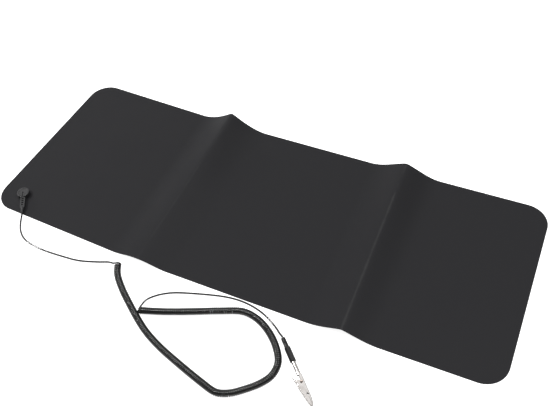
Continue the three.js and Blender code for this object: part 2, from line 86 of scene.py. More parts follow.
def filletCorners(points, steps=4):
    # a point with a third number gets that radius at its corner
    soft = []
    for i, point in enumerate(points):
        here = Vector(point[:2])
        if len(point) == 2:
            soft.append(tuple(here))
            continue
        before = Vector(points[i - 1][:2]) - here
        after = Vector(points[(i + 1) % len(points)][:2]) - here
        half = before.angle(after) / 2
        cut = min(point[2] / math.tan(half), before.length / 2, after.length / 2)
        first, last = here + before.normalized() * cut, here + after.normalized() * cut
        for k in range(steps + 1):
            t = k / steps
            soft.append(tuple(first * (1 - t) ** 2 + here * 2 * t * (1 - t) + last * t * t))
    return soft


def meshFrom(vertices, faces):
    mesh = bpy.data.meshes.new("shape")
    mesh.from_pydata([tuple(v) for v in vertices], [], faces)
    mesh.update()
    return mesh


def tidyNormals(mesh):
    work = bmesh.new()
    work.from_mesh(mesh)
    bmesh.ops.remove_doubles(work, verts=work.verts, dist=1e-5)
    bmesh.ops.recalc_face_normals(work, faces=work.faces)
    work.to_mesh(mesh)
    work.free()
    return mesh


def lathe(profile, segments=48, axis="Z", closed=False):
    # (radius, height) points turned about the axis; an open profile starts and ends on it
    vertices, rings, faces = [], [], []
    for radius, height in profile:
        if radius < 1e-9:
            rings.append([len(vertices)])
            vertices.append((0, 0, height))
            continue
        rings.append(list(range(len(vertices), len(vertices) + segments)))
        for k in range(segments):
            angle = 2 * math.pi * (k + 0.5) / segments
            vertices.append((radius * math.cos(angle), radius * math.sin(angle), height))
    pairs = list(zip(rings, rings[1:] + rings[:1])) if closed else list(zip(rings, rings[1:]))
    for low, high in pairs:
        for k in range(segments):
            n = (k + 1) % segments
            if len(low) == 1 and len(high) > 1:
                faces.append((low[0], high[n], high[k]))
            elif len(high) == 1 and len(low) > 1:
                faces.append((low[k], low[n], high[0]))
            elif len(low) > 1:
                faces.append((low[k], low[n], high[n], high[k]))
    mesh = tidyNormals(meshFrom(vertices, faces))
    if axis == "X":
        mesh.transform(Matrix.Rotation(math.pi / 2, 4, "Y"))
    return mesh


def prism(outline, low, high):
    # upright solid of an outline in the XY plane
    count = len(outline)
    vertices = [(x, y, low) for x, y in outline] + [(x, y, high) for x, y in outline]
    sides = [(k, (k + 1) % count, count + (k + 1) % count, count + k) for k in range(count)]
    caps = [tuple(reversed(range(count))), tuple(range(count, 2 * count))]
    return tidyNormals(meshFrom(vertices, sides + caps))


def slab(x, y, z):
    corners = [(x[0], y[0]), (x[1], y[0]), (x[1], y[1]), (x[0], y[1])]
    return prism(corners, z[0], z[1])


def bake(holder):
    # the mesh of an object with its modifiers applied; the object goes
    bpy.context.view_layer.update()
    graph = bpy.context.evaluated_depsgraph_get()
    mesh = bpy.data.meshes.new_from_object(holder.evaluated_get(graph))
    bpy.data.objects.remove(holder)
    return mesh


def holderOf(mesh):
    holder = bpy.data.objects.new("work", mesh)
    bpy.context.scene.collection.objects.link(holder)
    return holder


def combine(mesh, others, how="DIFFERENCE"):
    for other in others:
        holder, tool = holderOf(mesh), holderOf(other)
        change = holder.modifiers.new("change", "BOOLEAN")
        change.operation, change.solver, change.object = how, "EXACT", tool
        mesh = bake(holder)
        bpy.data.objects.remove(tool)
    return mesh


def addPiece(name, mesh, matrix, body, finish, replaced=(), edge=0.0, sharp=40):
    # mesh in mm, in the local axes of matrix; edge rounds its corners by that many mm
    mesh.transform(Matrix.Scale(mm, 4) @ matrix)
    mesh.materials.clear()
    for surface in finish if isinstance(finish, list) else [finish]:
        mesh.materials.append(surface)
    mesh.shade_smooth()
    mesh.set_sharp_from_angle(angle=math.radians(sharp))
    piece = bpy.data.objects.new(name, mesh)
    bpy.context.scene.collection.objects.link(piece)
    if edge:
        rounding = piece.modifiers.new("edges", "BEVEL")
        rounding.width, rounding.segments = edge * mm, 2
        rounding.limit_method, rounding.angle_limit = "ANGLE", math.radians(sharp)
        rounding.harden_normals = True
    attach(piece, body)
    if replaced:
        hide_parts(*replaced)
    return piece


# where the plug and the clip lie; the cord and the scratches in the metal follow it
clipSettings = {
    "angle": -44.4,  # direction of the plug and the clip, degrees from X
    "plugFront": (124.2, -175.8),  # front face of the plug, on the cord's route, mm
    "axisHeight": 4.0,
    "rivet": (25.4, -0.8),  # along and across from the mouth of the barrel, mm
    "reliefEnd": -31.0,  # where the cord goes into the strain relief, along from the mouth, mm
}

print("stage: material groups")


def newGroup(name, numbersIn, out):
    group = bpy.data.node_groups.new(name, "ShaderNodeTree")
    for label, value in numbersIn.items():
        socket = group.interface.new_socket(name=label, in_out="INPUT", socket_type="NodeSocketFloat")
        socket.default_value = value
    for label in out:
        group.interface.new_socket(name=label, in_out="OUTPUT", socket_type="NodeSocketFloat")
    return group


def addNode(tree, kind, values=None, **settings):
    node = tree.nodes.new("ShaderNode" + kind)
    for label, value in settings.items():
        setattr(node, label, value)
    for label, value in (values or {}).items():
        if isinstance(value, bpy.types.NodeSocket):
            tree.links.new(value, node.inputs[label])
        else:
            node.inputs[label].default_value = value
    return node


def mathNode(tree, operation, first, second):
    node = addNode(tree, "Math", {0: first, 1: second}, operation=operation)
    return node.outputs[0]


def mouldGrainGroup():
    # fine pebble grain as a height, and slow clouds as a mask
    group = newGroup("mould grain", {"Grain size": 0.6, "Cloud size": 60.0}, ("Height", "Clouds"))
    source = group.nodes.new("NodeGroupInput")
    target = group.nodes.new("NodeGroupOutput")
    where = addNode(group, "TexCoord").outputs["Object"]
    grainScale = mathNode(group, "DIVIDE", 1000.0, source.outputs["Grain size"])
    cloudScale = mathNode(group, "DIVIDE", 1000.0, source.outputs["Cloud size"])
    pebbles = addNode(group, "TexVoronoi", {"Vector": where, "Scale": grainScale, "Smoothness": 0.6},
                      feature="SMOOTH_F1")
    speckle = addNode(group, "TexNoise", {"Vector": where, "Scale": grainScale, "Detail": 3.0})
    height = mathNode(group, "ADD", pebbles.outputs["Distance"], speckle.outputs["Fac"])
    clouds = addNode(group, "TexNoise", {"Vector": where, "Scale": cloudScale, "Detail": 5.0, "Roughness": 0.6})
    group.links.new(height, target.inputs["Height"])
    group.links.new(clouds.outputs["Fac"], target.inputs["Clouds"])
    return group


def rubMarksGroup():
    # thin scratches that run along the clip, as a mask from 0 to 1
    group = newGroup("rub marks", {"Mark width": 0.15, "Stretch": 14.0}, ("Marks",))
    source = group.nodes.new("NodeGroupInput")
    target = group.nodes.new("NodeGroupOutput")
    where = addNode(group, "TexCoord").outputs["Object"]
    turn = (0, 0, math.radians(clipSettings["angle"]))
    turned = addNode(group, "Mapping", {"Vector": where, "Rotation": turn})
    split = addNode(group, "SeparateXYZ", {"Vector": turned.outputs[0]})
    squeezed = mathNode(group, "DIVIDE", split.outputs["X"], source.outputs["Stretch"])
    joined = addNode(group, "CombineXYZ", {"X": squeezed, "Y": split.outputs["Y"], "Z": split.outputs["Z"]})
    scale = mathNode(group, "DIVIDE", 1000.0, source.outputs["Mark width"])
    noise = addNode(group, "TexNoise", {"Vector": joined.outputs[0], "Scale": scale, "Detail": 4.0})
    marks = addNode(group, "MapRange", {"Value": noise.outputs["Fac"], "From Min": 0.45, "From Max": 0.75})
    group.links.new(marks.outputs[0], target.inputs["Marks"])
    return group


mouldGrain = mouldGrainGroup()
rubMarks = rubMarksGroup()


def groupNode(tree, group, **values):
    node = tree.nodes.new("ShaderNodeGroup")
    node.node_tree = group
    for label, value in values.items():
        node.inputs[label.replace("_", " ")].default_value = value
    return node


def rampNode(tree, source, stops):
    node = addNode(tree, "ValToRGB", {"Fac": source})
    ramp = node.color_ramp
    while len(ramp.elements) < len(stops):
        ramp.elements.new(1.0)
    for element, (position, colour) in zip(ramp.elements, stops):
        element.position, element.color = position, (*colour, 1.0)
    return node.outputs["Color"]


def blankMaterial(name, **shaderValues):
    material = bpy.data.materials.new(name)
    material.use_nodes = True
    shader = material.node_tree.nodes["Principled BSDF"]
    for label, value in shaderValues.items():
        shader.inputs[label.replace("_", " ")].default_value = value
    return material, material.node_tree, shader


def grainedMaterial(name, look):
    # moulded rubber or plastic: clouded colour, uneven gloss and a fine grain
    material, tree, shader = blankMaterial(name, Specular_IOR_Level=look["specular"])
    grain = groupNode(tree, mouldGrain, Grain_size=look["grain"], Cloud_size=look["clouds"])
    colour = rampNode(tree, grain.outputs["Clouds"], [(0.35, look["dark"]), (0.65, look["light"])])
    gloss = addNode(tree, "MapRange", {"Value": grain.outputs["Clouds"], "From Min": 0.3, "From Max": 0.7,
                                       "To Min": look["gloss"][0], "To Max": look["gloss"][1]})
    bump = addNode(tree, "Bump", {"Height": grain.outputs["Height"], "Strength": look["bump"],
                                  "Distance": look["depth"] * mm})
    tree.links.new(colour, shader.inputs["Base Color"])
    tree.links.new(gloss.outputs[0], shader.inputs["Roughness"])
    tree.links.new(bump.outputs[0], shader.inputs["Normal"])
    return material


def platedMaterial(name, look):
    # plated metal: bright, slightly clouded, with fine rub marks
    material, tree, shader = blankMaterial(name, Metallic=1.0)
    grain = groupNode(tree, mouldGrain, Grain_size=look["grain"], Cloud_size=look["clouds"])
    marks = groupNode(tree, rubMarks, Mark_width=look["marks"], Stretch=look["stretch"])
    colour = rampNode(tree, grain.outputs["Clouds"], [(0.3, look["dark"]), (0.7, look["light"])])
    gloss = addNode(tree, "MapRange", {"Value": marks.outputs["Marks"],
                                       "To Min": look["gloss"][0], "To Max": look["gloss"][1]})
    bump = addNode(tree, "Bump", {"Height": marks.outputs["Marks"], "Strength": look["bump"],
                                  "Distance": look["depth"] * mm})
    tree.links.new(colour, shader.inputs["Base Color"])
    tree.links.new(gloss.outputs[0], shader.inputs["Roughness"])
    tree.links.new(bump.outputs[0], shader.inputs["Normal"])
    return material


# grain, clouds, marks and depth are in mm; gloss is the lowest and highest roughness
snapLook = {
    "dark": (0.022, 0.022, 0.023), "light": (0.030, 0.030, 0.032), "gloss": (0.34, 0.46),
    "specular": 0.5, "grain": 0.25, "clouds": 8.0, "bump": 0.3, "depth": 0.03,
}
plugLook = {
    "dark": (0.007, 0.007, 0.007), "light": (0.011, 0.011, 0.011), "gloss": (0.24, 0.34),
    "specular": 0.5, "grain": 0.25, "clouds": 8.0, "bump": 0.3, "depth": 0.03,
}
jacketLook = {
    "dark": (0.003, 0.003, 0.003), "light": (0.005, 0.005, 0.005), "gloss": (0.11, 0.16),
    "specular": 1.0, "grain": 0.4, "clouds": 20.0, "bump": 0.15, "depth": 0.02,
}
nickelLook = {
    "dark": (0.66, 0.65, 0.62), "light": (0.78, 0.77, 0.74), "gloss": (0.16, 0.34),
    "grain": 0.2, "clouds": 6.0, "marks": 0.12, "stretch": 10.0, "bump": 0.2, "depth": 0.01,
}
clipLook = {
    "dark": (0.68, 0.64, 0.61), "light": (0.90, 0.87, 0.85), "gloss": (0.14, 0.30),
    "grain": 0.2, "clouds": 7.0, "marks": 0.10, "stretch": 16.0, "bump": 0.25, "depth": 0.01,
}
rivetLook = {
    "dark": (0.22, 0.18, 0.16), "light": (0.34, 0.29, 0.26), "gloss": (0.16, 0.30),
    "grain": 0.2, "clouds": 3.0, "marks": 0.08, "stretch": 5.0, "bump": 0.2, "depth": 0.01,
}
springLook = {
    "dark": (0.50, 0.40, 0.22), "light": (0.68, 0.58, 0.36), "gloss": (0.25, 0.40),
    "grain": 0.15, "clouds": 3.0, "marks": 0.08, "stretch": 5.0, "bump": 0.2, "depth": 0.01,
}

snapPlastic = grainedMaterial("snap housing plastic", snapLook)
plugPlastic = grainedMaterial("plug plastic", plugLook)
jacket = grainedMaterial("cord jacket", jacketLook)
nickel = platedMaterial("nickel plate", nickelLook)
clipPlate = platedMaterial("plated clip steel", clipLook)
rivetMetal = platedMaterial("tarnished rivet", rivetLook)
springSteel = platedMaterial("yellow spring wire", springLook)

print("stage: cord")

cordSettings = {
    "wire": 2.2,  # mm
    "coil": 8.5,  # outside of the curly stretch, mm
    "pitch": 2.28,  # along the curly stretch, mm
    "stepsPerTurn": 16,
    "unevenness": 0.03,  # how far a turn may lean from its place, share of the pitch
    "leanWaves": ((61, 0, 1), (143, 1.3, 1), (377, 0.4, 0.7)),  # speed, start and size of each lean
    "evenEnds": 40,  # the turns lie evenly in the first and last 40th of the stretch
    "firstFlare": 0.8,  # how far the first half turn stands out, mm
    "inSleeve": 3, "inRelief": 2, "inPlug": 1,  # straight ends in the fittings, mm
    "stepsPerSpan": 6,  # of the leads
}

# the cord as it lies, in mm, from the connector to the clip
matLeadRoute = [
    (-286.6, -119.1, 3.5), (-285.3, -121.5, 3.1), (-283.4, -125.7, 2.3), (-281, -130.3, 1.7),
    (-277.9, -135, 1.3), (-273.6, -140.1, 1.2), (-264.7, -147, 1.2), (-255.4, -150.9, 1.2),
    (-244.3, -153, 1.2), (-227.8, -154.4, 1.2), (-197.3, -153.3, 1.2), (-174.8, -150.9, 1.2),
    (-150.4, -143.4, 1.2), (-140.2, -140.1, 2.2), (-133.8, -140.2, 4.6), (-129, -141, 6.8),
]
coilRoute = [
    (-124.3, -139.4), (-117, -151.5), (-100.3, -167.1), (-81.6, -181), (-63.3, -193.7), (-44.6, -205),
    (-20.6, -215.5), (6.3, -224.3), (33.2, -232.2), (48.4, -236.3), (56.1, -238.2), (61.9, -238.9),
    (66.8, -238.2), (72.3, -236.1), (77.9, -233.2), (89.4, -224), (102.4, -210.8), (109.4, -198.1),
    (109.2, -182.7), (98.2, -165.5), (80.5, -150.5), (62.9, -142.4), (46, -140.7), (21.2, -149.8),
    (-9.1, -163), (-39.9, -175.5), (-66.2, -184.4),
]
clipLeadRoute = [
    (-66, -186.8, 2.4), (-67.7, -185.2, 1.6), (-68.6, -182.2, 1.3), (-69.1, -179, 1.2), (-69, -176.2, 1.2),
    (-67.4, -167.8, 1.2), (-59.5, -158.4, 1.2), (-50, -151.5, 1.2), (-39.5, -146.2, 1.2),
    (-16.8, -138.5, 1.2), (6.2, -131.9, 1.2), (18, -129.3, 1.2), (30.2, -127.8, 1.2),
    (43.3, -127.9, 1.2), (57.1, -130, 1.2), (72.3, -135, 1.3), (88.9, -144.3, 2), (96.4, -150, 3.2),
]


def nodeMiddle(node):
    low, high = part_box(node)
    return (low + high) / 2 / mm


def clipPoint(along, across=0.0):
    # a point of the plug and clip on the cord's route
    ahead = direction(clipSettings["angle"])
    left = Vector((-ahead.y, ahead.x, 0))
    front = Vector((*clipSettings["plugFront"], clipSettings["axisHeight"]))
    return front + ahead * along + left * across


# the route's own zero is moved to where the frame has the clip's rivet
routeShift = nodeMiddle("clip_rivet") - clipPoint(*clipSettings["rivet"])
routeShift.z = 0


def smoothCurve(points, perSpan):
    # centripetal spline through the points
    ends = [points[0] * 2 - points[1], *points, points[-1] * 2 - points[-2]]
    line = []
    for a, b, c, d in zip(ends, ends[1:], ends[2:], ends[3:]):
        ab, bc, cd = ((q - p).length ** 0.5 for p, q in ((a, b), (b, c), (c, d)))
        leave = ((b - a) / ab - (c - a) / (ab + bc) + (c - b) / bc) * bc
        arrive = ((c - b) / bc - (d - b) / (bc + cd) + (d - c) / cd) * bc
        for k in range(perSpan):
            t = k / perSpan
            line.append(b * (2 * t**3 - 3 * t**2 + 1) + leave * (t**3 - 2 * t**2 + t)
                        + c * (3 * t**2 - 2 * t**3) + arrive * (t**3 - t**2))
    return line + [points[-1]]


def curlyStretch():
    # the wire's turns, as points round the route of the curly stretch
    middleHeight = cordSettings["coil"] / 2
    dense = smoothCurve([Vector((x, y, middleHeight)) for x, y in coilRoute], 60)
    line = np.array(dense)
    along = np.concatenate([[0], np.cumsum(np.linalg.norm(np.diff(line, axis=0), axis=1))])
    turns = round(along[-1] / cordSettings["pitch"]) + 0.25
    count = int(turns * cordSettings["stepsPerTurn"]) + 1
    share = np.linspace(0, 1, count)
    lean = sum(size * np.sin(share * speed + start) for speed, start, size in cordSettings["leanWaves"])
    ease = np.minimum(1, np.minimum(share, 1 - share) * cordSettings["evenEnds"])
    at = share * along[-1] + lean * ease * cordSettings["unevenness"] * cordSettings["pitch"]
    centre = np.stack([np.interp(at, along, line[:, k]) for k in range(3)], axis=1)
    slopes = [np.gradient(line[:, k], along) for k in range(3)]
    slope = np.stack([np.interp(share * along[-1], along, axisSlope) for axisSlope in slopes], axis=1)
    slope /= np.linalg.norm(slope, axis=1)[:, None]
    side = np.stack([-slope[:, 1], slope[:, 0], np.zeros(count)], axis=1)
    angle = math.pi / 2 - 2 * math.pi * turns * share
    flare = cordSettings["firstFlare"] * np.maximum(0, 1 - share * turns / 0.5)
    radius = ((cordSettings["coil"] - cordSettings["wire"]) / 2 + flare)[:, None]
    up = np.array([0, 0, 1])
    turnsLine = centre + radius * (np.cos(angle)[:, None] * side + np.sin(angle)[:, None] * up)
    return [Vector(point) for point in turnsLine]


def sleeveExit():
    # where the cord leaves the connector's sleeve, on the route
    stud = nodeMiddle("stud_back_cap") - routeShift
    exitPoint = Vector((stud.x, stud.y, 0)) + direction(snapSettings["angle"]) * snapSettings["sleeveEnd"]
    exitPoint.z = snapSettings["exitHeight"]
    return exitPoint


snapSettings = {
    "angle": -56.5,  # from the stud to the cord, degrees from X
    "onMat": 1.5,  # lowest point above the floor
    "headDiameter": 16.2, "headHeight": 5.4, "dish": 0.6, "rim": 2.0,
    "tailReach": 26.0, "tailWidth": 6.6, "tailHeight": 4.0,
    "slotCount": 4, "slotPitch": 3.3, "slotLength": 1.8, "slotWidth": 3.0, "slotDepth": 1.8,
    "firstSlot": 1.5,  # past the head's edge
    "grooveWidth": 1.8, "grooveDepth": 0.9,  # from the head's middle to the slots
    "roomRadius": 6.2, "roomHeight": 2.8,  # for the socket, under the head
    "knobRoom": (4.3, 3.4),  # radius and height of the room for the stud's knob
    "sleeveStart": 2.2, "sleeveRadius": 1.9, "neckRadius": 1.3,
    "sleeveEnd": 33.0, "exitHeight": 3.7,
}


def addWire(name, line, width, finish, body):
    # round wire through points in mm
    data = bpy.data.curves.new(name, "CURVE")
    data.dimensions = "3D"
    data.bevel_depth, data.bevel_resolution, data.use_fill_caps = width / 2 * mm, 3, True
    spline = data.splines.new("POLY")
    spline.points.add(len(line) - 1)
    for point, place in zip(spline.points, line):
        point.co = (*(place * mm), 1)
    spline.use_smooth = True
    data.materials.append(finish)
    wire = bpy.data.objects.new(name, data)
    bpy.context.scene.collection.objects.link(wire)
    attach(wire, body)
    return wire


def makeCord(s):
    exitPoint = sleeveExit()
    inSleeve = exitPoint - direction(snapSettings["angle"]) * s["inSleeve"]
    relief = clipSettings["reliefEnd"]
    coil = curlyStretch()
    first = [inSleeve, exitPoint] + [Vector(point) for point in matLeadRoute]
    last = [Vector(point) for point in clipLeadRoute]
    last += [clipPoint(relief - s["inRelief"]), clipPoint(relief), clipPoint(-s["inPlug"])]
    firstLine = smoothCurve(first + coil[:2], s["stepsPerSpan"])
    lastLine = smoothCurve(coil[-2:] + last, s["stepsPerSpan"])
    overlap = s["stepsPerSpan"] + 1  # the span that each lead shares with the turns
    line = firstLine[:-overlap] + coil + lastLine[overlap:]
    cord = addWire("curlyCord", [place + routeShift for place in line], s["wire"], jacket,
                   "mat_and_cord")
    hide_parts("cord_lead_mat", "curly_cord", "cord_lead_clip")
    length = sum((b - a).length for a, b in zip(line, line[1:])) * mm
    print(f"cord length {length:.3f} m, {len(line)} points")
    return cord, length


cord, cordLength = makeCord(cordSettings)

print("stage: mat sheet")

matSettings = {
    "length": 680.0, "width": 250.0, "thickness": 1.2, "corner": 28.0,  # mm, flat
    "leftPanel": 235.0, "rightPanel": 183.0,  # from each end to its crease
    "tent": 1.7,  # how hollow the sides of a ridge are
    "crest": 2.4,  # rounding of a sharp crest, mm
    "columnStep": 2.6, "rows": 56, "cornerColumns": 12,
    "edge": 0.22,  # rounding of the cut edge, mm
}
# the pairs are at the near and the far side; takeUp is how much length the ridge draws in
leftRidge = {
    "crease": -matSettings["length"] / 2 + matSettings["leftPanel"],
    "height": (7.0, 22.0), "reach": (42.0, 55.0), "softness": (1.0, 0.1),
    "rise": 1.5, "skew": 0.0, "takeUp": 4.7, "turn": -2.5, "wear": 0.3,
}
rightRidge = {
    "crease": matSettings["length"] / 2 - matSettings["rightPanel"],
    "height": (12.5, 17.0), "reach": (46.0, 50.0), "softness": (0.2, 0.35),
    "rise": 1.0, "skew": -4.0, "takeUp": 5.6, "turn": 0.8, "wear": 0.8,
}


def between(pair, t):
    return pair[0] + (pair[1] - pair[0]) * t


def ridgeHeight(ridge, u, v):
    t = v / matSettings["width"] + 0.5
    height, reach = between(ridge["height"], t ** ridge["rise"]), between(ridge["reach"], t)
    softness, crest = between(ridge["softness"], t), matSettings["crest"]
    away = np.abs(u - ridge["crease"] - ridge["skew"] * (2 * t - 1))
    offset = np.minimum((np.hypot(away, crest) - crest) / (np.hypot(reach, crest) - crest), 1)
    tent = (1 - offset) ** matSettings["tent"]
    swell = np.cos(offset * np.pi / 2) ** 2
    return height * (tent + (swell - tent) * softness)


def pastRidge(ridge, u):
    reach = ridge["reach"][1]
    t = np.clip((u - ridge["crease"] + reach) / (2 * reach), 0, 1)
    return t * t * (3 - 2 * t)


def turnAbout(x, y, centre, degrees):
    angle = np.radians(degrees)
    return (centre + (x - centre) * np.cos(angle) - y * np.sin(angle),
            (x - centre) * np.sin(angle) + y * np.cos(angle))


def matPlace(u, v):
    # where points of the flat sheet lie now, with the underside's height
    left, right = pastRidge(leftRidge, u), pastRidge(rightRidge, u)
    x = u + leftRidge["takeUp"] * (1 - left) - rightRidge["takeUp"] * right
    x, y = turnAbout(x, v, leftRidge["crease"] + leftRidge["takeUp"] / 2, leftRidge["turn"] * (1 - left))
    x, y = turnAbout(x, y, rightRidge["crease"] - rightRidge["takeUp"] / 2, rightRidge["turn"] * right)
    return x, y, ridgeHeight(leftRidge, u, v) + ridgeHeight(rightRidge, u, v)


def matColumns():
    # places along the flat sheet, closer together round its corners
    half, corner = matSettings["length"] / 2, matSettings["corner"]
    angles = np.linspace(0, math.pi / 2, matSettings["cornerColumns"] + 1)
    cornerPart = half - corner * (1 - np.cos(angles))
    count = round(2 * (half - corner) / matSettings["columnStep"])
    middlePart = np.linspace(corner - half, half - corner, count + 1)[1:-1]
    return np.concatenate([-cornerPart, middlePart, cornerPart[::-1]])


def matSheetMesh():
    u = matColumns()
    rows = matSettings["rows"]
    corner, half = matSettings["corner"], matSettings["length"] / 2
    into = np.maximum(corner - (half - np.abs(u)), 0)
    halfWidth = matSettings["width"] / 2 - corner + np.sqrt(corner**2 - into**2)
    share = np.linspace(-1, 1, rows + 1)
    v = halfWidth[:, None] * share[None, :]
    x, y, z = matPlace(np.repeat(u[:, None], rows + 1, axis=1), v)
    under = np.stack([x, y, z], axis=-1).reshape(-1, 3)
    vertices = np.concatenate([under, under + [0, 0, matSettings["thickness"]]])
    columns, top = len(u), len(under)
    faces, cut = [], []

    def place(c, r):
        return c * (rows + 1) + r

    for c in range(columns - 1):
        for r in range(rows):
            corners = (place(c, r), place(c + 1, r), place(c + 1, r + 1), place(c, r + 1))
            faces.append(tuple(top + k for k in corners))
            faces.append(tuple(reversed(corners)))
    rim = [place(c, 0) for c in range(columns)] + [place(columns - 1, r) for r in range(1, rows + 1)]
    rim += [place(c, rows) for c in range(columns - 2, -1, -1)] + [place(0, r) for r in range(rows - 1, 0, -1)]
    for a, b in zip(rim, rim[1:] + rim[:1]):
        cut.append((a, b, top + b, top + a))
    middle = (vertices.min(axis=0) + vertices.max(axis=0)) / 2
    vertices[:, :2] -= middle[:2]
    mesh = meshFrom(vertices, faces + cut)
    mesh.polygons.foreach_set("material_index", [0] * len(faces) + [1] * len(cut))
    # the flat sheet's own coordinates, in metres, for the wear along the creases
    flat = np.stack([np.repeat(u, rows + 1), v.reshape(-1)], axis=1) * mm
    flat = np.concatenate([flat, flat])
    corners = np.zeros(len(mesh.loops), dtype=np.int32)
    mesh.loops.foreach_get("vertex_index", corners)
    mesh.uv_layers.new(name="flatSheet").data.foreach_set("uv", flat[corners].reshape(-1))
    return mesh


def creaseWearGroup():
    # paler rubbed line along a packing crease, from the sheet's own flat coordinates
    group = newGroup("crease wear", {"Crease": 0.0, "Skew": 0.0, "Width": 0.002, "Strength": 1.0}, ("Wear",))
    source = group.nodes.new("NodeGroupInput")
    target = group.nodes.new("NodeGroupOutput")
    flat = addNode(group, "UVMap", uv_map="flatSheet").outputs["UV"]
    split = addNode(group, "SeparateXYZ", {"Vector": flat})
    share = mathNode(group, "DIVIDE", split.outputs["Y"], matSettings["width"] / 2 * mm)
    lean = mathNode(group, "MULTIPLY", share, source.outputs["Skew"])
    wobble = addNode(group, "TexNoise", {"Vector": flat, "Scale": 90.0, "Detail": 3.0}).outputs["Fac"]
    middle = mathNode(group, "ADD", source.outputs["Crease"], lean)
    away = mathNode(group, "ABSOLUTE", mathNode(group, "SUBTRACT", split.outputs["X"], middle), 0.0)
    reach = mathNode(group, "MULTIPLY", source.outputs["Width"], mathNode(group, "MULTIPLY", wobble, 2.0))
    line = mathNode(group, "SUBTRACT", 1.0, mathNode(group, "DIVIDE", away, reach))
    patches = addNode(group, "TexNoise", {"Vector": flat, "Scale": 35.0, "Detail": 4.0}).outputs["Fac"]
    patchy = addNode(group, "MapRange", {"Value": patches, "From Min": 0.35, "From Max": 0.6})
    strength = mathNode(group, "MULTIPLY", patchy.outputs[0], source.outputs["Strength"])
    worn = mathNode(group, "MULTIPLY", mathNode(group, "MAXIMUM", line, 0.0), strength)
    group.links.new(worn, target.inputs["Wear"])
    return group


creaseWear = creaseWearGroup()


def rubberMaterial(name, look):
    # conductive rubber sheet: pebble grain, slow clouds, and paler stretched rubber along the creases
    material, tree, shader = blankMaterial(name, Specular_IOR_Level=look["specular"],
                                           Sheen_Weight=look["sheen"], Sheen_Roughness=look["sheenRoughness"])
    grain = groupNode(tree, mouldGrain, Grain_size=look["grain"], Cloud_size=look["clouds"])
    colour = rampNode(tree, grain.outputs["Clouds"], [(0.3, look["dark"]), (0.7, look["light"])])
    wear = 0.0
    for ridge in (leftRidge, rightRidge):
        mark = groupNode(tree, creaseWear, Crease=ridge["crease"] * mm, Skew=ridge["skew"] * mm,
                         Width=look["wearWidth"] * mm, Strength=ridge["wear"])
        wear = mathNode(tree, "ADD", mark.outputs["Wear"], wear)
    worn = addNode(tree, "Mix", {"Factor": wear, 6: colour, 7: (*look["worn"], 1)}, data_type="RGBA")
    gloss = addNode(tree, "MapRange", {"Value": grain.outputs["Clouds"], "From Min": 0.3, "From Max": 0.7,
                                       "To Min": look["gloss"][0], "To Max": look["gloss"][1]})
    bump = addNode(tree, "Bump", {"Height": grain.outputs["Height"], "Strength": look["bump"],
                                  "Distance": look["depth"] * mm})
    tree.links.new(worn.outputs[2], shader.inputs["Base Color"])
    tree.links.new(gloss.outputs[0], shader.inputs["Roughness"])
    tree.links.new(bump.outputs[0], shader.inputs["Normal"])
    return material


rubberLook = {
    "dark": (0.0088, 0.0086, 0.0103), "light": (0.0104, 0.0102, 0.0121), "gloss": (0.58, 0.68),
    "specular": 0.25, "sheen": 0.04, "sheenRoughness": 0.4, "grain": 0.9, "clouds": 90.0,
    "bump": 0.25, "depth": 0.06, "worn": (0.028, 0.028, 0.029), "wearWidth": 2.2,
}
cutLook = {
    "dark": (0.004, 0.004, 0.004), "light": (0.007, 0.007, 0.007), "gloss": (0.7, 0.8),
    "specular": 0.2, "grain": 0.5, "clouds": 10.0, "bump": 0.3, "depth": 0.04,
}
rubber = rubberMaterial("conductive rubber", rubberLook)
cutRubber = grainedMaterial("cut rubber edge", cutLook)
stud = nodeMiddle("stud_back_cap")
studMatrix = Matrix.Translation((stud.x, stud.y, 0))
studSettings = {
    "lift": 0.05,  # of the back cap's underside over the floor, mm
    "capRadius": 6.0, "capHeight": 0.4, "tubeRadius": 1.5, "tubeTop": 3.2,
    "holeRadius": 1.8, "holeTop": 3.5,
    "flangeRadius": 4.8, "flangeHeight": 0.4, "neckRadius": 3.5, "knobRadius": 4.0,
    "knobLow": 2.2, "knobHigh": 3.1,  # over the mat
    "socketInner": 4.3, "socketOuter": 5.9, "socketLow": 0.7, "socketHigh": 2.5,
}


def makeMat(s):
    # the sheet has a hole for the stud and a shallow recess for its back cap
    radius, height = s["capRadius"] + seatGap, s["capHeight"] + seatGap
    hole = s["holeRadius"]
    recess = lathe([(0, -1), (radius, -1), (radius, height), (hole, height), (hole, 3), (0, 3)])
    recess.transform(studMatrix)
    mesh = combine(matSheetMesh(), [recess])
    return addPiece("mat", mesh, Matrix(), "mat_and_cord", [rubber, cutRubber], ["mat_sheet"],
                    edge=matSettings["edge"], sharp=50)


mat = makeMat(studSettings)

print("stage: snap")

snapMatrix = studMatrix @ Matrix.Rotation(math.radians(snapSettings["angle"]), 4, "Z")


def makeStud(s):
    lift, onMat = s["lift"], snapSettings["onMat"]
    cap = filletCorners([
        (0, lift), (s["capRadius"] - 0.4, lift), (s["capRadius"], lift + 0.1, 0.1),
        (s["capRadius"], s["capHeight"], 0.1), (s["tubeRadius"], s["capHeight"]),
        (s["tubeRadius"], s["tubeTop"], 0.2), (0, s["tubeTop"]),
    ])
    addPiece("studBackCap", lathe(cap), studMatrix, "mat_and_cord", nickel, ["stud_back_cap"])
    flangeTop = onMat + s["flangeHeight"]
    profile = filletCorners([
        (0, s["holeTop"]), (s["holeRadius"], s["holeTop"]), (s["holeRadius"], onMat),
        (s["flangeRadius"], onMat, 0.1), (s["flangeRadius"], flangeTop, 0.15), (s["neckRadius"], flangeTop, 0.3),
        (s["knobRadius"], onMat + s["knobLow"], 0.5), (s["knobRadius"], onMat + s["knobHigh"], 0.8),
        (0, onMat + s["knobHigh"]),
    ])
    addPiece("snapStud", lathe(profile), studMatrix, "mat_and_cord", nickel, ["snap_stud"])


